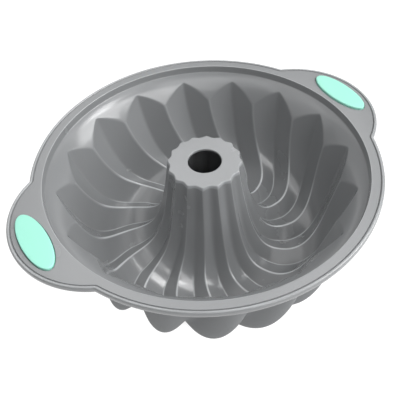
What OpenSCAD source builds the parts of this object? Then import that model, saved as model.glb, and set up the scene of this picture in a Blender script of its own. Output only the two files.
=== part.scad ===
// Ring cake pan in soft silicone: swirled flutes round a hollow centre tube,
// a flat flange with two rounded ears, a steel ring moulded into the rim and
// two soft oval grip pads let into the ears.
// Millimetres. +Z is up, the ears lie along X, the pan stands on z = 0.

/* [Mouth and rim] */
// radius of the mouth, at the inner edge of the flange
mouth_r = 118; // [114:0.5:122]
// height of the mouth above the table
mouth_h = 92.5; // [91:0.5:93]
// radius of the outer edge of the round rim
rim_r = 127.2; // [126:0.2:129]
// thickness of the flange
flange_t = 4.2; // [3.6:0.1:5]
// rise of the flange for every millimetre outward
flange_rise = 0.05; // [0.03:0.01:0.07]
// depth of the steep band below the edge of the mouth
band_depth = 5.5; // [5:0.1:6]
// how far the steep band leans inward
band_lean = 0.8; // [0.4:0.1:1.2]

/* [Ears] */
// radius of the round outline of an ear
ear_r = 62; // [58:0.5:66]
// distance from the middle of the pan to the centre of that round
ear_x = 85.3; // [83:0.1:87]

/* [Bead along the edge] */
// distance of the fine groove from the outer edge
bead_w = 2.4; // [2:0.1:3]
// width of the fine groove
groove_w = 0.7; // [0.4:0.1:1]
// depth of the fine groove
groove_d = 0.5; // [0.3:0.1:0.7]

/* [Flutes] */
// number of flutes
flutes = 16; // [12:1:18]
// turn of a flute from the wall to the tube, in degrees
swirl = 24.4; // [15:0.1:30]
// turn of the whole pattern against the ears, in degrees
phase = -0.9; // [-11:0.1:11]
// radius where a ridge leaves the wall
ridge_top_r = 101; // [99:0.5:103]
// depth where a ridge leaves the wall
ridge_top_d = 24; // [22:0.5:26]
// radius of the lowest point of a ridge
ridge_floor_r = 66.8; // [64:0.1:70]
// depth of the lowest point of a ridge
ridge_floor_d = 79; // [76:0.5:81]
// radius of the pointed top of a flute
arch_r = 110.5; // [109:0.5:112]
// depth of the pointed top of a flute
arch_d = 10.5; // [9:0.5:12]
// radius of the lowest point of a flute
flute_floor_r = 65.8; // [64:0.1:68]
// depth of the lowest point of a flute
flute_floor_d = 85.5; // [84:0.5:87]
// how far a flute lags behind the ridges at the floor, in degrees
flute_lag = 1.5; // [0:0.1:2]
// radius of the lowest point of the lobe behind a flute
lobe_floor_r = 74; // [72:0.5:76]
// depth of the lowest point of that lobe, less the wall
lobe_floor_d = 90; // [89.5:0.1:90]

/* [Centre tube] */
// radius of the tube top, over the ridges
tube_ridge_r = 27.6; // [26:0.1:30]
// radius of the tube top, in the flutes
tube_flute_r = 25.9; // [24:0.1:27.5]
// depth of the tube top below the mouth
tube_top_d = 1.3; // [0.5:0.1:4]
// radius of the hole in the tube top
hole_r = 12.4; // [9:0.1:15]
// thickness of the tube top
top_t = 2.4; // [2:0.1:3]

/* [Wall] */
// thickness of the silicone, measured in a flute
wall = 3; // [2.6:0.1:3.4]
// extra silicone that fills the back of each ridge
ridge_fill = 4.5; // [0:0.5:5]

/* [Steel ring] */
// diameter of the steel wire
wire_d = 2; // [1.6:0.1:2.2]
// distance of the wire's centre from the outer edge
wire_inset = 3.9; // [3.8:0.1:4.2]
// depth of the wire's centre below the mouth
wire_depth = 1.45; // [1.3:0.05:1.6]
// size of a weld bead against the wire
weld = 1.3; // [1.2:0.05:1.35]

/* [Grip pads] */
// distance of a pad's centre from the middle of the pan
pad_x = 131.5; // [131:0.1:132]
// half the length of a pad
pad_a = 26.5; // [22:0.5:28]
// half the width of a pad
pad_b = 9.5; // [8.5:0.1:9.8]
// depth of the recess that holds a pad
pad_sink = 2.2; // [1.6:0.1:2.6]
// height of the pad's crown above the flange
pad_crown = 1.9; // [1.5:0.1:2.2]
// gap round a pad
pad_gap = 0.25; // [0.15:0.05:0.35]

/* [Hidden] */
silicone = [0.62, 0.63, 0.64];
mint = [0.66, 0.95, 0.86];
steel = [0.75, 0.76, 0.78];
pitch = 360 / flutes;
foot_z = -mouth_h;
eps = 0.01;
// positions across one flute, from ridge to ridge, with the flute at 0
phases = [-0.5, -0.37, -0.15, 0, 0.15, 0.37];
flute_rows = 22;
bore_core = 8;

function clamp01(x) = min(1, max(0, x));
function smooth01(x) = let (c = clamp01(x)) c * c * (3 - 2 * c);
function bez(p, t) = pow(1 - t, 3) * p[0] + 3 * pow(1 - t, 2) * t * p[1]
    + 3 * (1 - t) * t * t * p[2] + pow(t, 3) * p[3];

// An [r, z] profile in two halves: start, down to the floor, up to the end.
function profile(a, da, reach_in, floor_p, reach_out, db, b, t) = t <= 0.5
    ? bez([a, a + da, floor_p + [reach_in, 0], floor_p], t * 2)
    : bez([floor_p, floor_p - [reach_out, 0], b + db, b], t * 2 - 1);
function ridge_in(t) = profile([ridge_top_r, -ridge_top_d], [-10, -39], 19.6,
    [ridge_floor_r, -ridge_floor_d], 20.6, [10.5, -69.5], [tube_ridge_r, -tube_top_d], t);
function flute_in(t) = profile([arch_r, -arch_d], [-15.3, -75.2], 18.6,
    [flute_floor_r, -flute_floor_d], 28.4, [7.6, -54.4], [tube_flute_r, -tube_top_d], t);
// The back of a flute is a fuller lobe, so the silicone is thicker at the foot of the wall.
function lobe(t) = profile([arch_r, -arch_d], [-6.5, -65], 29.5,
    [lobe_floor_r, -lobe_floor_d], 32.3, [9.1, -69.7], [tube_flute_r, -tube_top_d], t);

// Unit normal of a profile, pointing out of the silicone's back.
function back(a, b) = let (d = b - a) [-d[1], d[0]] / norm(d);
function ridge_out(t) = ridge_in(t) + back(ridge_in(t - 0.01), ridge_in(t + 0.01))
    * (wall + ridge_fill * sin(180 * clamp01((t - 0.02) / 0.62)));
function flute_out(t) = lobe(t) + back(lobe(t - 0.01), lobe(t + 0.01)) * wall;

// Turn of a ridge, a flute and the lobe behind it, in degrees.
function turn_ridge(t) = -swirl * smooth01((t + 0.06) / 0.753);
function turn_flute(t) = -swirl * smooth01((t + 0.02) / 0.77) - flute_lag * pow(sin(180 * t), 2);
function turn_lobe(t) = -swirl * smooth01((t + 0.02) / 0.78);

// Weight across a flute: 1 on its centre line, 0 on the ridges, rounded at both.
function across(u, rv, rr) = let (m = abs(u), y = m < rv ? m * m / rv + rv
    : m > 0.5 - rr ? 1 - rr - pow(0.5 - m, 2) / rr : 2 * m) (1 - rr - y) / (1 - rr - rv);
function w_in(u, t) = across(u, 0.035 + 0.19 * smooth01(2 * t - 1),
    0.02 + 0.014 * smooth01(2.5 * t) + 0.03 * smooth01(2 * t - 1));
function w_out(u) = across(u, 0.28, 0.12);

// The smooth wall above the flutes: 0 at a ridge's top, 1 at an arch's tip,
// ledge_v at the bottom of the steep band.
ledge = [mouth_r - band_lean, -band_depth];
ledge_v = (ledge[0] - ridge_top_r) / (arch_r - ridge_top_r);
wb = ((ledge[1] + ridge_top_d) - ledge_v * (ridge_top_d - arch_d)) / (ledge_v * ledge_v - ledge_v);
wa = (ridge_top_d - arch_d) - wb;
function wall_in(v) = [ridge_top_r + v * (arch_r - ridge_top_r), -ridge_top_d + wa * v + wb * v * v];
function wall_out(v) = wall_in(v) + back(wall_in(v + 0.05), wall_in(v - 0.05)) * wall;

function polar3(rz, a) = [rz[0] * cos(a), rz[0] * sin(a), rz[1]];
columns = [for (k = [0:flutes - 1]) for (u = phases) [(k + u) * pitch + phase, u]];
cols = len(columns);

// One ring of points for each row; every ring has a point in every column.
function circle_row(rz) = [for (c = columns) polar3(rz, c[0])];
function wall_in_row(f) = [for (c = columns) polar3(wall_in(ledge_v + (w_in(c[1], 0) - ledge_v) * f), c[0])];
function wall_out_row(f) = [for (c = columns) polar3(wall_out(ledge_v + (w_out(c[1]) - ledge_v) * f), c[0])];
function flute_in_row(t) = [for (c = columns) let (w = w_in(c[1], t))
    polar3(ridge_in(t) * (1 - w) + flute_in(t) * w,
        c[0] + turn_ridge(t) * (1 - w) + turn_flute(t) * w)];
function flute_out_row(t) = [for (c = columns) let (w = w_out(c[1]),
    p = ridge_out(t) * (1 - w) + flute_out(t) * w)
    polar3([p[0], t > 0.96 ? -tube_top_d - top_t : max(p[1], foot_z)],
        c[0] + turn_ridge(t) * (1 - w) + turn_lobe(t) * w)];

rows = concat(
    [circle_row([mouth_r + 2, -flange_t * 0.62]), circle_row(wall_in(ledge_v + 0.08))],
    [for (f = [1 / 3, 2 / 3]) wall_in_row(f)],
    [for (i = [0:flute_rows]) flute_in_row(i / flute_rows)],
    [circle_row([bore_core, -tube_top_d]), circle_row([bore_core, -tube_top_d - top_t])],
    [for (i = [flute_rows:-1:1]) flute_out_row(0.975 * i / flute_rows)],
    [for (f = [1, 0.5]) wall_out_row(f)],
    [circle_row([mouth_r + 1.4, -band_depth - 2.7]), circle_row([mouth_r + 3.6, -flange_t * 0.74])]);

module shell() {
    n = len(rows);
    polyhedron(
        points = [for (r = rows) each r],
        faces = [for (i = [0:n - 1]) for (j = [0:cols - 1])
            let (a = i * cols + j, b = i * cols + (j + 1) % cols,
                c = ((i + 1) % n) * cols + (j + 1) % cols, d = ((i + 1) % n) * cols + j)
            each [[a, c, b], [a, d, c]]],
        convexity = 12);
}

module outline(inset, z0, z1) {
    translate([0, 0, z0]) {
        cylinder(h = z1 - z0, r = rim_r - inset, $fn = 180);
        for (s = [-1, 1]) translate([s * ear_x, 0, 0])
            cylinder(h = z1 - z0, r = ear_r - inset, $fn = 180);
    }
}

// A layer that follows the rising flange, from depth a to depth b below its top.
module layer(r0, a, b) {
    r1 = mouth_r + 40;
    rotate_extrude($fn = 180) polygon([
        [r0, (r0 - mouth_r) * flange_rise - b], [r1, (r1 - mouth_r) * flange_rise - b],
        [r1, (r1 - mouth_r) * flange_rise - a], [r0, (r0 - mouth_r) * flange_rise - a]]);
}

module flange() {
    difference() {
        intersection() {
            outline(0, -12, 12);
            rotate_extrude($fn = 180) polygon([
                [mouth_r + 0.5, 0], [mouth_r, -0.5],
                [mouth_r - band_lean * 1.24, -band_depth * 1.24],
                [mouth_r + 0.9, -band_depth * 1.27],
                [mouth_r + 2.2, 2.2 * flange_rise - flange_t],
                [mouth_r + 40, 40 * flange_rise - flange_t],
                [mouth_r + 40, 40 * flange_rise]]);
        }
        intersection() {
            layer(mouth_r + 2, -3, groove_d);
            difference() {
                outline(bead_w, -8, 8);
                outline(bead_w + groove_w, -9, 9);
            }
        }
    }
}

// Path of the steel wire: two rim arcs and two ear arcs, welded where they meet.
ring_rim = rim_r - wire_inset;
ring_ear = ear_r - wire_inset;
weld_x = (ring_rim * ring_rim - ring_ear * ring_ear + ear_x * ear_x) / (2 * ear_x);
weld_y = sqrt(ring_rim * ring_rim - weld_x * weld_x);
rim_angle = atan2(weld_y, weld_x);
ear_angle = atan2(weld_y, weld_x - ear_x);

module arc(r, wire_r, a0, a1) {
    rotate([0, 0, a0]) rotate_extrude(angle = a1 - a0, $fn = 180)
        translate([r, 0]) circle(r = wire_r, $fn = 48);
}

module wire(wire_r) {
    translate([0, 0, mouth_h - wire_depth]) {
        for (s = [0, 180]) rotate([0, 0, s]) {
            arc(ring_rim, wire_r, rim_angle, 180 - rim_angle);
            translate([ear_x, 0, 0]) arc(ring_ear, wire_r, -ear_angle, ear_angle);
            for (m = [-1, 1]) translate([weld_x, m * weld_y, -wire_r * 1.15])
                cylinder(h = wire_r * 2.3, r = wire_r * weld, $fn = 48);
        }
    }
}

function oval(a, b, n) = [for (i = [0:n - 1]) [b * cos(360 * i / n), a * sin(360 * i / n)]];
pad_top = mouth_h + (pad_x - mouth_r) * flange_rise;
pad_floor = pad_top - pad_sink;

// Straight-sided pad with a rounded shoulder and a low crown, tilted with the flange.
pad_steps = [[1, 0], [1, pad_sink + 0.58 * pad_crown], [0.985, pad_sink + 0.74 * pad_crown],
    [0.95, pad_sink + 0.86 * pad_crown], [0.85, pad_sink + 0.94 * pad_crown],
    [0.6, pad_sink + 0.98 * pad_crown], [0.3, pad_sink + 0.995 * pad_crown]];

module grip_pad(side) {
    n = 72;
    m = len(pad_steps);
    pts = [for (s = pad_steps) each [for (p = oval(pad_a - pad_gap, pad_b - pad_gap, n))
        let (k = 1 - (1 - s[0]) * (s[0] > 0.9 ? pad_b / norm(p) : 1))
            [p[0] * k, p[1] * k, s[1] + (s[1] > 0 ? side * p[0] * k * flange_rise : 0)]]];
    top = len(pts);
    polyhedron(
        points = concat(pts, [[0, 0, pad_sink + pad_crown]]),
        faces = concat(
            [[for (j = [0:n - 1]) j]],
            [for (i = [0:m - 2]) for (j = [0:n - 1]) let (b = (j + 1) % n)
                each [[i * n + j, (i + 1) * n + j, (i + 1) * n + b], [i * n + j, (i + 1) * n + b, i * n + b]]],
            [for (j = [0:n - 1]) [(m - 1) * n + j, top, (m - 1) * n + (j + 1) % n]]),
        convexity = 4);
}

module pan_body() {
    color(silicone) difference() {
        translate([0, 0, mouth_h]) difference() {
            union() {
                shell();
                flange();
            }
            translate([0, 0, -tube_top_d - top_t - 5]) cylinder(h = top_t + 10, r = hole_r, $fn = 120);
        }
        wire(wire_d / 2 + 0.03);
        for (s = [-1, 1]) translate([s * pad_x, 0, pad_floor])
            linear_extrude(height = 12) polygon(oval(pad_a, pad_b, 72));
    }
}

module reinforcing_ring() {
    color(steel) wire(wire_d / 2);
}

module left_grip_pad() {
    color(mint) translate([-pad_x, 0, pad_floor]) grip_pad(-1);
}

module right_grip_pad() {
    color(mint) translate([pad_x, 0, pad_floor]) grip_pad(1);
}

pan_body();
reinforcing_ring();
left_grip_pad();
right_grip_pad();
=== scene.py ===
"""Looks for the silicone fluted tube pan: one fine mesh of the grey moulding,
two mint grip pads let into its ears, and the steel ring inside its rim.
Shape functions work in millimetres, with z = 0 at the mouth; meshes are in metres."""

import math

import bpy
import numpy as np
from mathutils import Matrix, Vector
from mathutils.kdtree import KDTree


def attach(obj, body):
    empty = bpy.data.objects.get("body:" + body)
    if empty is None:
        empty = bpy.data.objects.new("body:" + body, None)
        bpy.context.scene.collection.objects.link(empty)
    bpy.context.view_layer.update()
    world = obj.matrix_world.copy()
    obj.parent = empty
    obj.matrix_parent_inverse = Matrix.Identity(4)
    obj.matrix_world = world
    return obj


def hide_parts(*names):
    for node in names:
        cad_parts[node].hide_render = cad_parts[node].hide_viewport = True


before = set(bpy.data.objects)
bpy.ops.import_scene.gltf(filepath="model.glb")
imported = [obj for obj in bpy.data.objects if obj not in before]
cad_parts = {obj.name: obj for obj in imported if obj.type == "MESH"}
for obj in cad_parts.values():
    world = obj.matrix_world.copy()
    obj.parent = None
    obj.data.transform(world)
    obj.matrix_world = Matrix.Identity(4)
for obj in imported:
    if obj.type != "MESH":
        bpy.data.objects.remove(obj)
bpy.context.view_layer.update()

# ---------------------------------------------------------------- sizes, mm
MOUTH_R, MOUTH_H = 118.0, 92.5
RIM_R, EAR_R, EAR_X = 127.2, 62.0, 85.3
FLANGE_T, RISE = 4.2, 0.05
BAND_D, BAND_LEAN = 5.5, 0.8
FLUTES, SWIRL, PHASE = 16, 24.4, -0.9
PITCH = 360.0 / FLUTES
RIDGE_TOP = (101.0, -24.0)
ARCH = (110.5, -10.5)
TUBE_TOP, TOP_T = -1.3, 2.4
HOLE_R = 12.4
WALL, RIDGE_FILL = 3.0, 4.5
JUNCTION_FILLET = 2.2
PAD_X, PAD_A, PAD_B = 131.5, 26.5, 9.5
PAD_SINK, PAD_CROWN, PAD_GAP = 2.2, 1.9, 0.35


# ---------------------------------------------------------------- profiles
def clamp01(x):
    return np.clip(x, 0.0, 1.0)


def smooth01(x):
    c = clamp01(x)
    return c * c * (3 - 2 * c)


def bez(p, t):
    t = np.asarray(t, float)[..., None]
    a, b, c, d = (np.array(q, float) for q in p)
    return (1 - t) ** 3 * a + 3 * (1 - t) ** 2 * t * b + 3 * (1 - t) * t * t * c + t**3 * d


def profile(a, da, reach_in, floor, reach_out, db, b, t):
    a, da, floor, db, b = (np.array(q, float) for q in (a, da, floor, db, b))
    t = np.asarray(t, float)
    first = bez((a, a + da, floor + (reach_in, 0), floor), t * 2)
    second = bez((floor, floor - (reach_out, 0), b + db, b), t * 2 - 1)
    return np.where((t <= 0.5)[..., None], first, second)


def ridge_in(t):
    return profile(RIDGE_TOP, (-10, -39), 19.6, (66.8, -79), 20.6, (10.5, -69.5), (27.6, TUBE_TOP), t)


def flute_in(t):
    return profile(ARCH, (-15.3, -75.2), 18.6, (65.8, -85.5), 28.4, (7.6, -54.4), (25.9, TUBE_TOP), t)


def lobe(t):
    """Profile that the back of a flute follows: fuller than the flute at the foot of the wall."""
    return profile(ARCH, (-6.5, -65), 29.5, (74, -90), 32.3, (9.1, -69.7), (25.9, TUBE_TOP), t)


def back(a, b):
    d = b - a
    n = np.stack([-d[..., 1], d[..., 0]], -1)
    return n / np.linalg.norm(d, axis=-1, keepdims=True)


def ridge_out(t):
    t = np.asarray(t, float)
    thick = WALL + RIDGE_FILL * np.sin(math.pi * clamp01((t - 0.02) / 0.62))
    return ridge_in(t) + back(ridge_in(t - 0.01), ridge_in(t + 0.01)) * thick[..., None]


def flute_out(t):
    t = np.asarray(t, float)
    return lobe(t) + back(lobe(t - 0.01), lobe(t + 0.01)) * WALL


def turn_ridge(t):
    return -SWIRL * smooth01((t + 0.06) / 0.753)


def turn_flute(t):
    return -SWIRL * smooth01((t + 0.02) / 0.77) - 1.5 * np.sin(math.pi * np.clip(t, 0, 1)) ** 2


def turn_lobe(t):
    return -SWIRL * smooth01((t + 0.02) / 0.78)


def across(u, rv, rr):
    """1 on a flute's centre line, 0 on the ridges, rounded at both."""
    m = np.abs(u)
    y = np.where(m < rv, m * m / rv + rv, np.where(m > 0.5 - rr, 1 - rr - (0.5 - m) ** 2 / rr, 2 * m))
    return (1 - rr - y) / (1 - rr - rv)


LEDGE = np.array((MOUTH_R - BAND_LEAN, -BAND_D))
LEDGE_V = (LEDGE[0] - RIDGE_TOP[0]) / (ARCH[0] - RIDGE_TOP[0])
_rise = ARCH[1] - RIDGE_TOP[1]
WB = ((LEDGE[1] - RIDGE_TOP[1]) - LEDGE_V * _rise) / (LEDGE_V * LEDGE_V - LEDGE_V)
WA = _rise - WB


def wall_in(v):
    v = np.asarray(v, float)
    return np.stack([RIDGE_TOP[0] + v * (ARCH[0] - RIDGE_TOP[0]), RIDGE_TOP[1] + WA * v + WB * v * v], -1)


def wall_out(v):
    v = np.asarray(v, float)
    return wall_in(v) + back(wall_in(v + 0.05), wall_in(v - 0.05)) * WALL


# ---------------------------------------------------------------- outline
JX = ((RIM_R + JUNCTION_FILLET) ** 2 - (EAR_R + JUNCTION_FILLET) ** 2 + EAR_X**2) / (2 * EAR_X)
JY = math.sqrt((RIM_R + JUNCTION_FILLET) ** 2 - JX * JX)
JC = math.hypot(JX, JY)
J_ANGLE = math.degrees(math.atan2(JY, JX))


def outline(theta, inset):
    """Radius of the edge of the flange at an angle in degrees, moved in by inset."""
    a = np.abs((theta + 90.0) % 180.0 - 90.0)  # from the nearer ear
    rad = np.radians(a)
    rim, ear, fil = RIM_R - inset, EAR_R - inset, JUNCTION_FILLET + inset
    ear_r = EAR_X * np.cos(rad) + np.sqrt(np.maximum(ear**2 - (EAR_X * np.sin(rad)) ** 2, 0.0))
    d = np.radians(a - J_ANGLE)
    fil_r = JC * np.cos(d) - np.sqrt(np.maximum(fil**2 - (JC * np.sin(d)) ** 2, 0.0))
    # tangent points of the fillet with the rim and with the ear
    t_rim = J_ANGLE
    ex, ey = JX - EAR_X, JY
    k = ear / math.hypot(ex, ey)
    t_ear = math.degrees(math.atan2(ey * k, EAR_X + ex * k))
    return np.where(a >= t_rim, rim, np.where(a <= t_ear, ear_r, fil_r))


# ---------------------------------------------------------------- columns
half = [0, 0.010, 0.020, 0.031, 0.043, 0.062, 0.095, 0.14, 0.19, 0.24, 0.29, 0.34, 0.385, 0.42, 0.445, 0.462, 0.473, 0.482, 0.491, 0.5]
phases = sorted(set([-h for h in half[1:-1]] + half))
theta = np.array([(k + u) * PITCH + PHASE for k in range(FLUTES) for u in phases])
extra = []
for j in (J_ANGLE, -J_ANGLE, 180 - J_ANGLE, 180 + J_ANGLE):
    s = 1 if j in (J_ANGLE, 180 + J_ANGLE) else -1
    for d in np.arange(-3.4, 0.9, 0.22):
        extra.append((j + s * d) % 360.0)
theta = np.mod(theta, 360.0)
extra = [e for e in extra if np.min(np.abs((theta - e + 180) % 360 - 180)) > 0.07]
theta = np.sort(np.concatenate([theta, extra]))
U = ((theta - PHASE) / PITCH + 0.5) % 1.0 - 0.5
COLS = len(theta)


def cyl(r, z, turn=0.0):
    """One row of points, from radius, height and turn for every column."""
    a = np.radians(theta + turn)
    r = np.broadcast_to(r, a.shape)
    z = np.broadcast_to(z, a.shape)
    return np.stack([r * np.cos(a), r * np.sin(a), z], -1)


def ease(n, ends="both", power=1.9):
    """n values between 0 and 1, without the ends, closer together near the ends."""
    s = (np.arange(n) + 1) / (n + 1)
    if ends == "both":
        return np.where(s < 0.5, 0.5 * (2 * s) ** power, 1 - 0.5 * (2 - 2 * s) ** power)
    if ends == "start":
        return s**power
    return 1 - (1 - s) ** power


# the third list holds the painted highlight strength of each row
rows, marks, edge_highlights = [], [], []


def add(points, mark=0.0, edge_highlight=0.0):
    """mark is how strongly this row is rounded off later; the last argument is how strongly a painted highlight
    pales the silicone of this row.
    """
    rows.append(points)
    marks.append(mark)
    edge_highlights.append(np.broadcast_to(edge_highlight, theta.shape))


def crease_highlight(t):
    """Painted highlight: crests are painted pale all the way down, valley creases only near the floor."""
    m = np.abs(U)
    crest = smooth01((m - 0.456) / 0.03) * (0.15 + 0.75 * smooth01((t - 0.12) / 0.18)) * (1 - 0.85 * smooth01((t - 0.58) / 0.2))
    valley = smooth01((0.03 - m) / 0.022) * smooth01((t - 0.18) / 0.15) * smooth01((0.64 - t) / 0.1)
    return crest + 0.45 * valley


def ridge_round(t):
    return 0.02 + 0.014 * smooth01(t * 2.5) + 0.03 * smooth01((t - 0.5) / 0.5)


def valley_round(t):
    return 0.035 + 0.19 * smooth01((t - 0.5) / 0.5)


def inner_row(t):
    w = across(U, valley_round(t), ridge_round(t))
    p = ridge_in(t) * (1 - w)[:, None] + flute_in(t) * w[:, None]
    return cyl(p[:, 0], p[:, 1], turn_ridge(t) * (1 - w) + turn_flute(t) * w)


def outer_row(t):
    w = across(U, 0.28, 0.12)
    p = ridge_out(t) * (1 - w)[:, None] + flute_out(t) * w[:, None]
    z = p[:, 1]
    return cyl(p[:, 0], np.where(z < -MOUTH_H, -MOUTH_H, z), turn_ridge(t) * (1 - w) + turn_lobe(t) * w)


# tube top, from the hole outward
top_w = across(U, valley_round(1.0), ridge_round(1.0))
top_r = 27.6 * (1 - top_w) + 25.9 * top_w
# the tube top carries a faint painted highlight, stronger at the hole's edge and at its outer edge
add(cyl(HOLE_R, TUBE_TOP, -SWIRL), 1.0)
for s in (0.018, 0.04, 0.075, 0.13, 0.24, 0.38, 0.53, 0.67, 0.79, 0.87, 0.92, 0.953, 0.975, 0.989):
    add(cyl(HOLE_R + (top_r - HOLE_R) * s, TUBE_TOP, -SWIRL), 1.0 if s < 0.05 or s > 0.94 else 0.0, 0.15 if s < 0.05 or s > 0.94 else 0.1)
# flutes, from the tube up to the wall
lead = [1 - v for v in (0.0, 0.0022, 0.0046, 0.0075, 0.0115, 0.017, 0.0245)]
mid = list(np.linspace(0.965, 0.035, 84))
tail = [0.0245, 0.016, 0.0105, 0.0068, 0.0040, 0.0018, 0.0]
# painted highlight along the tube top's outer edge, the crests and the valley creases
for t in lead + mid + tail:
    add(inner_row(t), 1.0 if t > 0.992 else (0.85 if t < 0.0069 else 0.0), 0.34 if t > 0.994 else crease_highlight(t))
# smooth wall, from the flutes up to the ledge
w0 = across(U, valley_round(0.0), ridge_round(0.0))
start_turn = turn_ridge(0.0) * (1 - w0) + turn_flute(0.0) * w0
for f in (0.982, 0.957, 0.925, 0.88, 0.80, 0.70, 0.59, 0.48, 0.37, 0.27, 0.18, 0.11, 0.065, 0.035, 0.014):
    p = wall_in(LEDGE_V + (w0 - LEDGE_V) * f)
    add(cyl(p[:, 0], p[:, 1], start_turn * f**3), 0.85 if f > 0.95 else (0.9 if f < 0.07 else 0.0))
# steep band, from the ledge up to the mouth
for s in (0.0, 0.045, 0.095, 0.16, 0.27, 0.42, 0.58, 0.72, 0.83, 0.90, 0.945, 0.978):
    add(cyl(LEDGE[0] + BAND_LEAN * s, -BAND_D * (1 - s)), 0.9 if s < 0.1 else (1.0 if s > 0.89 else 0.0))
# top of the flange, out to the groove
groove_in = outline(theta, 3.15)
# painted highlight along the mouth edge
for s in [0.0, 0.25, 0.55, 0.9, 1.3]:
    r = MOUTH_R + s
    add(cyl(r, s * RISE), 1.0 if s < 1.0 else 0.0, 0.35 if s < 0.5 else 0.0)
for s in (0.10, 0.22, 0.34, 0.46, 0.58, 0.70, 0.81, 0.90, 0.96):
    r = MOUTH_R + 1.3 + (groove_in - MOUTH_R - 1.3) * s
    add(cyl(r, (r - MOUTH_R) * RISE))
# groove, bead and side of the rim
# painted highlight along the top of the bead
for inset, dz in (
    (3.15, 0.0), (3.03, -0.22), (2.88, -0.56), (2.7, -0.72), (2.52, -0.58), (2.4, -0.22), (2.28, 0.08),
    (2.05, 0.27), (1.75, 0.37), (1.4, 0.40), (1.05, 0.34), (0.72, 0.18), (0.44, -0.08), (0.22, -0.42),
    (0.07, -0.85), (0.0, -1.35), (0.0, -1.9), (0.0, -2.45), (0.03, -2.95), (0.15, -3.4), (0.38, -3.78),
    (0.72, -4.04), (1.15, -4.17), (1.7, -4.2),
):
    r = outline(theta, inset)
    add(cyl(r, (r - MOUTH_R) * RISE + dz), 0.0, 0.3 if 1.0 < inset < 2.1 and dz > 0 else 0.0)
# underside of the flange, in to the collar
FIRST_OUTER = len(rows)
under = outline(theta, 1.7)
for s in (0.16, 0.34, 0.52, 0.68, 0.81, 0.90, 0.955, 0.985, 1.0):
    r = under + (121.5 - under) * s
    add(cyl(r, (r - MOUTH_R) * RISE - FLANGE_T), 1.0 if s > 0.9 else 0.0)
# collar, and the back of the smooth wall
corner = np.array((119.45, -8.1))
foot = np.array((121.2, -4.1))
for s in (0.12, 0.26, 0.42, 0.58, 0.74, 0.88, 1.0):
    p = foot + (corner - foot) * s
    add(cyl(p[0], p[1]), 1.0)
wo = across(U, 0.28, 0.12)
out_turn = turn_ridge(0.03) * (1 - wo) + turn_lobe(0.03) * wo
join = wall_out(LEDGE_V * 0.93 + wo * 0.07)
for s in (0.35, 0.7):
    p = corner + (join - corner) * s
    add(cyl(p[:, 0], p[:, 1]), 1.0)
for f in (0.07, 0.16, 0.27, 0.39, 0.52, 0.65, 0.77, 0.87, 0.94, 0.98):
    p = wall_out(LEDGE_V + (wo - LEDGE_V) * f)
    add(cyl(p[:, 0], p[:, 1], out_turn * f**3), 1.0 if f < 0.1 or f > 0.8 else 0.0)
# back of the flutes, down and up inside the hollow tube
for t in list(np.linspace(0.018, 0.94, 92)) + [0.95, 0.958]:
    add(outer_row(t), 1.0 if t < 0.06 or t > 0.945 else 0.0)
under_r = ridge_out(0.962)[0] * (1 - wo) + flute_out(0.962)[0] * wo
for s in (0.0, 0.03, 0.07, 0.14, 0.3, 0.5, 0.7, 0.86, 0.93, 0.97, 1.0):
    add(cyl(under_r + (HOLE_R - under_r) * s, TUBE_TOP - TOP_T, -SWIRL), 1.0 if s < 0.1 or s > 0.9 else 0.0)
# wall of the hole
for s in (0.12, 0.25, 0.42, 0.58, 0.75, 0.88):
    add(cyl(HOLE_R, TUBE_TOP - TOP_T * (1 - s), -SWIRL), 1.0 if s < 0.3 or s > 0.7 else 0.0)

P = np.array(rows)
M = np.array(marks)[:, None, None]
for _ in range(5):
    P = P + 0.5 * M * (0.5 * (np.roll(P, 1, axis=0) + np.roll(P, -1, axis=0)) - P)
P[:, :, 2] += MOUTH_H
P[:, :, 2] = np.maximum(P[:, :, 2], 0.0)
P *= 0.001
ROWS = len(P)
EDGE_HIGHLIGHT = np.array(edge_highlights).ravel()


def grid_mesh(name, pts):
    n, m = pts.shape[:2]
    idx = np.arange(n * m).reshape(n, m)
    a, b = idx, np.roll(idx, -1, axis=1)
    c, d = np.roll(b, -1, axis=0), np.roll(a, -1, axis=0)
    quads = np.stack([a, d, c, b], -1).reshape(-1, 4)
    me = bpy.data.meshes.new(name)
    me.from_pydata(pts.reshape(-1, 3).tolist(), [], quads.tolist())
    me.validate()
    return me


def signed_volume(me):
    me.calc_loop_triangles()
    v = np.empty(len(me.vertices) * 3)
    me.vertices.foreach_get("co", v)
    v = v.reshape(-1, 3)
    t = np.empty(len(me.loop_triangles) * 3, dtype=np.int32)
    me.loop_triangles.foreach_get("vertices", t)
    t = t.reshape(-1, 3)
    return float(np.einsum("ij,ij->i", v[t[:, 0]], np.cross(v[t[:, 1]], v[t[:, 2]])).sum() / 6)


def put(name, me, replaces=None):
    o = bpy.data.objects.new(name, me)
    bpy.context.scene.collection.objects.link(o)
    if signed_volume(me) < 0:
        me.flip_normals()
    me.polygons.foreach_set("use_smooth", [True] * len(me.polygons))
    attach(o, "root")
    if replaces:
        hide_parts(replaces)
    return o


# ---------------------------------------------------------------- grip pads
def oval_rings(sections, n=192):
    """Closed lofted oval from (shrink in mm, height in mm) sections, first one the bottom."""
    verts, faces = [], []
    ang = np.linspace(0, 2 * math.pi, n, endpoint=False)
    for shrink, z in sections:
        a, b = PAD_A - shrink, PAD_B - shrink
        x, y = b * np.cos(ang), a * np.sin(ang)
        verts += [(px, py, z) for px, py in zip(x, y)]
    m = len(sections)
    for i in range(m - 1):
        for j in range(n):
            k = (j + 1) % n
            faces.append((i * n + j, i * n + k, (i + 1) * n + k, (i + 1) * n + j))
    return verts, faces, n, m


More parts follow.
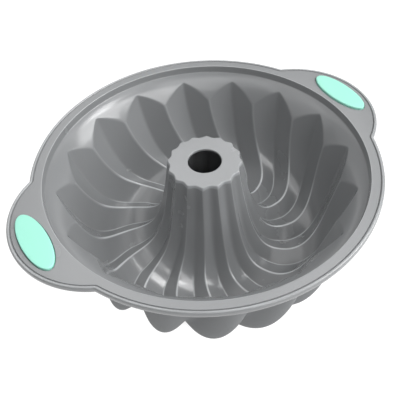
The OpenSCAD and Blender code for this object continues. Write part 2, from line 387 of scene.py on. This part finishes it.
def pad_mesh(name, side):
    edge = [
        (PAD_GAP + 0.5, 0.0), (PAD_GAP + 0.15, 0.06), (PAD_GAP, 0.3), (PAD_GAP, 1.2),
        (PAD_GAP, PAD_SINK + 0.2), (PAD_GAP + 0.02, PAD_SINK + 0.75), (PAD_GAP + 0.07, PAD_SINK + 1.15),
        (PAD_GAP + 0.17, PAD_SINK + 1.42), (PAD_GAP + 0.34, PAD_SINK + 1.6), (PAD_GAP + 0.6, PAD_SINK + 1.71),
        (PAD_GAP + 1.0, PAD_SINK + 1.77), (PAD_GAP + 1.8, PAD_SINK + 1.81), (PAD_GAP + 3.4, PAD_SINK + 1.85),
        (PAD_GAP + 5.8, PAD_SINK + 1.88), (PAD_GAP + 8.2, PAD_SINK + 1.9),
    ]
    verts, faces, n, m = oval_rings(edge)
    faces.append(tuple(reversed(range(n))))
    faces.append(tuple((m - 1) * n + j for j in range(n)))
    floor = MOUTH_H + (PAD_X - MOUTH_R) * RISE - PAD_SINK
    out = []
    for x, y, z in verts:
        x *= side
        y *= side
        out.append(((side * PAD_X + x) * 0.001, y * 0.001, (floor + z + side * x * RISE) * 0.001))
    me = bpy.data.meshes.new(name)
    me.from_pydata(out, [], faces)
    me.validate()
    return me


def pocket_cutter(side):
    sections = [(0.0, 0.0), (0.0, PAD_SINK - 0.25), (-0.06, PAD_SINK - 0.1), (-0.2, PAD_SINK), (-0.3, PAD_SINK + 0.3), (-0.3, PAD_SINK + 4)]
    verts, faces, n, m = oval_rings(sections)
    faces.append(tuple(reversed(range(n))))
    faces.append(tuple((m - 1) * n + j for j in range(n)))
    floor = MOUTH_H + (PAD_X - MOUTH_R) * RISE - PAD_SINK
    out = []
    for x, y, z in verts:
        x *= side
        y *= side
        out.append(((side * PAD_X + x) * 0.001, y * 0.001, (floor + z + side * x * RISE) * 0.001))
    me = bpy.data.meshes.new("pocket")
    me.from_pydata(out, [], faces)
    if signed_volume(me) < 0:
        me.flip_normals()
    o = bpy.data.objects.new("pocket", me)
    bpy.context.scene.collection.objects.link(o)
    return o


pan = put("silicone_pan", grid_mesh("silicone_pan", P), replaces="pan_body")
cutters = [pocket_cutter(s) for s in (-1, 1)]
for c in cutters:
    mod = pan.modifiers.new("pocket", "BOOLEAN")
    mod.operation, mod.object, mod.solver = "DIFFERENCE", c, "EXACT"
bpy.context.view_layer.update()
cut = bpy.data.meshes.new_from_object(pan.evaluated_get(bpy.context.evaluated_depsgraph_get()))
pan.modifiers.clear()
pan.data = cut
cut.name = "silicone_pan"
for c in cutters:
    bpy.data.objects.remove(c)
cut.polygons.foreach_set("use_smooth", [True] * len(cut.polygons))
cut.set_sharp_from_angle(angle=math.radians(38))
# carry the painted highlights on edges over from the grid to the cut mesh
near = KDTree(len(EDGE_HIGHLIGHT))
for i, q in enumerate(P.reshape(-1, 3).tolist()):
    near.insert(q, i)
near.balance()
nearest = [near.find(v.co)[1] for v in cut.vertices]
# per-vertex strength of the painted highlights
painted_highlight = cut.attributes.new("painted_highlight", "FLOAT", "POINT")
painted_highlight.data.foreach_set("value", [float(EDGE_HIGHLIGHT[i]) for i in nearest])
# the outside of the moulding is matt, the inside glossy
outside = cut.attributes.new("outside", "FLOAT", "POINT")
outside.data.foreach_set("value", [1.0 if i >= FIRST_OUTER * len(theta) else 0.0 for i in nearest])

pad_l = put("grip_pad_left", pad_mesh("grip_pad_left", -1), replaces="left_grip_pad")
pad_r = put("grip_pad_right", pad_mesh("grip_pad_right", 1), replaces="right_grip_pad")


# ---------------------------------------------------------------- materials
def new_material(name):
    m = bpy.data.materials.new(name)
    m.use_nodes = True
    nt = m.node_tree
    bsdf = next(n for n in nt.nodes if n.type == "BSDF_PRINCIPLED")
    return m, nt, bsdf


def node(nt, kind, **values):
    n = nt.nodes.new(kind)
    for k, v in values.items():
        setattr(n, k, v)
    return n


def ramp(nt, stops):
    n = node(nt, "ShaderNodeValToRGB")
    while len(n.color_ramp.elements) > 1:
        n.color_ramp.elements.remove(n.color_ramp.elements[0])
    n.color_ramp.elements[0].position = stops[0][0]
    n.color_ramp.elements[0].color = stops[0][1]
    for pos, col in stops[1:]:
        e = n.color_ramp.elements.new(pos)
        e.color = col
    return n


def rubber(name, colour, rough, shade=0.06, edge=0.10, grain=0.05, coat=0.0, coat_rough=0.2, painted_highlight=None, matt=None):
    """Moulded silicone: faint mottling, a soft sheen that varies, fine moulded grain, and painted highlights that
    pale the edges.
    """
    m, nt, b = new_material(name)
    link = nt.links.new
    tex = node(nt, "ShaderNodeTexCoord")
    broad = node(nt, "ShaderNodeTexNoise")
    broad.inputs["Scale"].default_value = 9.0
    broad.inputs["Detail"].default_value = 5.0
    link(tex.outputs["Object"], broad.inputs["Vector"])
    lo = tuple(c * (1 - shade) for c in colour) + (1.0,)
    hi = tuple(min(1.0, c * (1 + shade)) for c in colour) + (1.0,)
    tone = ramp(nt, [(0.32, lo), (0.68, hi)])
    link(broad.outputs["Fac"], tone.inputs["Fac"])
    # painted highlights on edges, as marked on the mesh or else from the curvature of the surface
    if painted_highlight:
        where = node(nt, "ShaderNodeAttribute", attribute_name=painted_highlight)
        highlight_mask = ramp(nt, [(0.0, (0, 0, 0, 1)), (1.0, (1, 1, 1, 1))])
        link(where.outputs["Fac"], highlight_mask.inputs["Fac"])
    else:
        geo = node(nt, "ShaderNodeNewGeometry")
        highlight_mask = ramp(nt, [(0.511, (0, 0, 0, 1)), (0.532, (1, 1, 1, 1))])
        link(geo.outputs["Pointiness"], highlight_mask.inputs["Fac"])
    patch = node(nt, "ShaderNodeTexNoise")
    patch.inputs["Scale"].default_value = 24.0
    patch.inputs["Detail"].default_value = 3.0
    link(tex.outputs["Object"], patch.inputs["Vector"])
    amount = node(nt, "ShaderNodeMath", operation="MULTIPLY")
    link(highlight_mask.outputs["Color"], amount.inputs[0])
    link(patch.outputs["Fac"], amount.inputs[1])
    amount2 = node(nt, "ShaderNodeMath", operation="MULTIPLY")
    amount2.inputs[1].default_value = edge * 2
    link(amount.outputs[0], amount2.inputs[0])
    # mix the mottled colour towards a pale tone, in patches, where the painted highlights fall
    mix = node(nt, "ShaderNodeMix", data_type="RGBA")
    link(amount2.outputs[0], mix.inputs["Factor"])
    link(tone.outputs["Color"], mix.inputs["A"])
    mix.inputs["B"].default_value = tuple(min(1.0, c * 2.3 + 0.04) for c in colour) + (1.0,)
    link(mix.outputs["Result"], b.inputs["Base Color"])
    # sheen that varies over the surface
    smear = node(nt, "ShaderNodeTexNoise")
    smear.inputs["Scale"].default_value = 26.0
    smear.inputs["Detail"].default_value = 6.0
    link(tex.outputs["Object"], smear.inputs["Vector"])
    rr = node(nt, "ShaderNodeMapRange")
    rr.inputs["From Min"].default_value = 0.3
    rr.inputs["From Max"].default_value = 0.7
    rr.inputs["To Min"].default_value = rough - 0.035
    rr.inputs["To Max"].default_value = rough + 0.045
    link(smear.outputs["Fac"], rr.inputs["Value"])
    if matt:
        # rougher, without coat and with less shine where the mesh is marked matt
        dull = node(nt, "ShaderNodeAttribute", attribute_name=matt)
        for socket, slope, base in (("Roughness", 0.36, None), ("Coat Weight", -coat, coat), ("Specular IOR Level", -0.42, 0.5)):
            sum_ = node(nt, "ShaderNodeMath", operation="MULTIPLY_ADD")
            link(dull.outputs["Fac"], sum_.inputs[0])
            sum_.inputs[1].default_value = slope
            if base is None:
                link(rr.outputs["Result"], sum_.inputs[2])
            else:
                sum_.inputs[2].default_value = base
            link(sum_.outputs[0], b.inputs[socket])
    else:
        link(rr.outputs["Result"], b.inputs["Roughness"])
        b.inputs["Coat Weight"].default_value = coat
    # fine moulded grain
    fine = node(nt, "ShaderNodeTexNoise")
    fine.inputs["Scale"].default_value = 1400.0
    fine.inputs["Detail"].default_value = 2.0
    link(tex.outputs["Object"], fine.inputs["Vector"])
    bump = node(nt, "ShaderNodeBump")
    bump.inputs["Strength"].default_value = grain
    bump.inputs["Distance"].default_value = 0.0004
    link(fine.outputs["Fac"], bump.inputs["Height"])
    link(bump.outputs["Normal"], b.inputs["Normal"])
    b.inputs["IOR"].default_value = 1.43
    b.inputs["Coat Roughness"].default_value = coat_rough
    b.inputs["Subsurface Weight"].default_value = 0.0
    return m


def drawn_wire(name):
    """Drawn steel wire: cool grey with faint drawing marks and dull patches."""
    m, nt, b = new_material(name)
    link = nt.links.new
    tex = node(nt, "ShaderNodeTexCoord")
    marks_ = node(nt, "ShaderNodeTexNoise")
    marks_.inputs["Scale"].default_value = 420.0
    marks_.inputs["Detail"].default_value = 4.0
    link(tex.outputs["Object"], marks_.inputs["Vector"])
    tone = ramp(nt, [(0.3, (0.46, 0.47, 0.48, 1)), (0.7, (0.66, 0.66, 0.67, 1))])
    link(marks_.outputs["Fac"], tone.inputs["Fac"])
    link(tone.outputs["Color"], b.inputs["Base Color"])
    rr = node(nt, "ShaderNodeMapRange")
    rr.inputs["To Min"].default_value = 0.24
    rr.inputs["To Max"].default_value = 0.48
    link(marks_.outputs["Fac"], rr.inputs["Value"])
    link(rr.outputs["Result"], b.inputs["Roughness"])
    bump = node(nt, "ShaderNodeBump")
    bump.inputs["Strength"].default_value = 0.15
    bump.inputs["Distance"].default_value = 0.0001
    link(marks_.outputs["Fac"], bump.inputs["Height"])
    link(bump.outputs["Normal"], b.inputs["Normal"])
    b.inputs["Metallic"].default_value = 1.0
    return m


# edge sets the strength of the painted highlights: on the pan along the marked crests, creases and rims, on the
# pads along edges picked out by curvature
grey = rubber("grey_silicone", (0.168, 0.173, 0.177), 0.24, shade=0.03, edge=0.95, grain=0.03, coat=0.4, coat_rough=0.12, painted_highlight="painted_highlight", matt="outside")
mint = rubber("mint_silicone", (0.242, 0.555, 0.45), 0.40, shade=0.02, edge=0.06, grain=0.05)
wire_mat = drawn_wire("ring_steel")


def dress(o, mat):
    o.data.materials.clear()
    o.data.materials.append(mat)


dress(pan, grey)
dress(pad_l, mint)
dress(pad_r, mint)
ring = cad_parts["reinforcing_ring"]
for s in ring.material_slots:
    s.material = wire_mat
for nm in ("pan_body", "left_grip_pad", "right_grip_pad"):
    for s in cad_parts[nm].material_slots:
        s.material = grey if nm == "pan_body" else mint

# ---------------------------------------------------------------- floor
floor_me = bpy.data.meshes.new("floor")
F = 6.0
floor_me.from_pydata([(-F, -F, 0), (F, -F, 0), (F, F, 0), (-F, F, 0)], [], [(0, 1, 2, 3)])
floor = bpy.data.objects.new("floor", floor_me)
floor.location.z = -0.0002
bpy.context.scene.collection.objects.link(floor)
fm, fnt, fb = new_material("glowing_floor")
ftex = node(fnt, "ShaderNodeTexCoord")
fnoise = node(fnt, "ShaderNodeTexNoise")
fnoise.inputs["Scale"].default_value = 3.0
fnt.links.new(ftex.outputs["Object"], fnoise.inputs["Vector"])
framp = ramp(fnt, [(0.3, (0.10, 0.10, 0.10, 1)), (0.7, (0.12, 0.12, 0.12, 1))])
fnt.links.new(fnoise.outputs["Fac"], framp.inputs["Fac"])
fnt.links.new(framp.outputs["Color"], fb.inputs["Base Color"])
fb.inputs["Roughness"].default_value = 0.9
fb.inputs["Specular IOR Level"].default_value = 0.1
fb.inputs["Emission Color"].default_value = (1, 1, 1, 1)
# the floor's own colour is dark; an emission glow paints it white in place of a lit table, and the glow is off in
# a disc under the pan, a painted shadow there
fdist = node(fnt, "ShaderNodeVectorMath", operation="LENGTH")
fnt.links.new(ftex.outputs["Object"], fdist.inputs[0])
fglow = node(fnt, "ShaderNodeMapRange", interpolation_type="SMOOTHSTEP")
fglow.inputs["From Min"].default_value = 0.070
fglow.inputs["From Max"].default_value = 0.088
fglow.inputs["To Min"].default_value = 0.0
fglow.inputs["To Max"].default_value = 1.0
fnt.links.new(fdist.outputs["Value"], fglow.inputs["Value"])
fnt.links.new(fglow.outputs["Result"], fb.inputs["Emission Strength"])
floor_me.materials.append(fm)

# ---------------------------------------------------------------- camera
PHI = math.radians(31.11)
UNIT = MOUTH_R * 0.001
F_PX, EL, DIST = 520.1, math.radians(43.78), 3.231
AX, AY, ROLL = -0.0133, -0.0776, math.radians(-3.40)
back_v = np.array([0, -math.cos(EL), math.sin(EL)])
C = back_v * DIST
fw = -back_v
right = np.array([1.0, 0, 0])
up = np.cross(right, fw)
fw2 = fw + AX * right + AY * up
fw2 /= np.linalg.norm(fw2)
r2 = np.cross(fw2, up)
r2 /= np.linalg.norm(r2)
u2 = np.cross(r2, fw2)
r3 = math.cos(ROLL) * r2 + math.sin(ROLL) * u2
u3 = -math.sin(ROLL) * r2 + math.cos(ROLL) * u2
turn_z = np.array([[math.cos(-PHI), -math.sin(-PHI), 0], [math.sin(-PHI), math.cos(-PHI), 0], [0, 0, 1]])
cam_data = bpy.data.cameras.new("camera")
cam = bpy.data.objects.new("camera", cam_data)
bpy.context.scene.collection.objects.link(cam)
cam_data.sensor_width = 36.0
cam_data.lens = F_PX / 400.0 * 36.0
cam_data.clip_start, cam_data.clip_end = 0.01, 20.0
X, Y, Z = turn_z @ r3, turn_z @ u3, turn_z @ -fw2
loc = turn_z @ C * UNIT + np.array([0, 0, MOUTH_H * 0.001])
cam.matrix_world = Matrix(
    ((X[0], Y[0], Z[0], loc[0]), (X[1], Y[1], Z[1], loc[1]), (X[2], Y[2], Z[2], loc[2]), (0, 0, 0, 1))
)
bpy.context.scene.camera = cam


# ---------------------------------------------------------------- light
def from_camera_frame(x, y, z):
    """A point given by right, away from the camera and up, in metres."""
    return Vector((turn_z @ np.array([x, y, z])).tolist())


def softbox(name, at, size, power, aim=(0, 0, 0.05), size_y=None, colour=(1, 1, 1)):
    d = bpy.data.lights.new(name, "AREA")
    d.shape = "RECTANGLE"
    d.size = size
    d.size_y = size_y or size
    d.energy = power
    d.color = colour
    o = bpy.data.objects.new(name, d)
    bpy.context.scene.collection.objects.link(o)
    o.location = from_camera_frame(*at)
    o.rotation_euler = (from_camera_frame(*aim) - o.location).to_track_quat("-Z", "Y").to_euler()
    return o


def ring_box(name, az, el, power, size=1.0, far=1.6):
    """A softbox by its direction: az 0 is right of the camera, 90 is behind the pan."""
    a, e = math.radians(az), math.radians(el)
    at = (far * math.cos(e) * math.cos(a), far * math.cos(e) * math.sin(a), far * math.sin(e) + 0.05)
    return softbox(name, at, size, power)


ring_box("key_right", 0, 34, 20.0)
ring_box("key_right_near", 315, 36, 14.0)
ring_box("front_high", 278, 54, 7.0)
ring_box("right_high", 0, 64, 2.2)
ring_box("right_gloss", 6, 53, 5.5, size=0.42)
ring_box("back_high", 90, 57, 5.4)
ring_box("right_low", 0, 13, 4.4)
ring_box("back_right_high", 45, 60, 3.4)
ring_box("back_left_high", 135, 60, 2.8)
ring_box("back_left_gloss", 118, 40, 4.6, size=2.1)
ring_box("left_high", 180, 60, 2.2)
ring_box("near_left_high", 222, 60, 2.0, size=0.8)
ring_box("left_mid", 180, 34, 3.0)

world = bpy.data.worlds.new("studio")
bpy.context.scene.world = world
world.use_nodes = True
bg = next(n for n in world.node_tree.nodes if n.type == "BACKGROUND")
wnt = world.node_tree
wtex = node(wnt, "ShaderNodeTexCoord")
wsep = node(wnt, "ShaderNodeSeparateXYZ")
wnt.links.new(wtex.outputs["Generated"], wsep.inputs["Vector"])
wramp = ramp(wnt, [(0.0, (0.97, 0.97, 0.97, 1)), (0.09, (0.86, 0.86, 0.86, 1)), (0.20, (0.30, 0.30, 0.30, 1)), (0.38, (0.04, 0.04, 0.04, 1))])
wnt.links.new(wsep.outputs["Z"], wramp.inputs["Fac"])
wnt.links.new(wramp.outputs["Color"], bg.inputs["Color"])
bg.inputs["Strength"].default_value = 1.0
bpy.context.scene.view_settings.view_transform = "Standard"
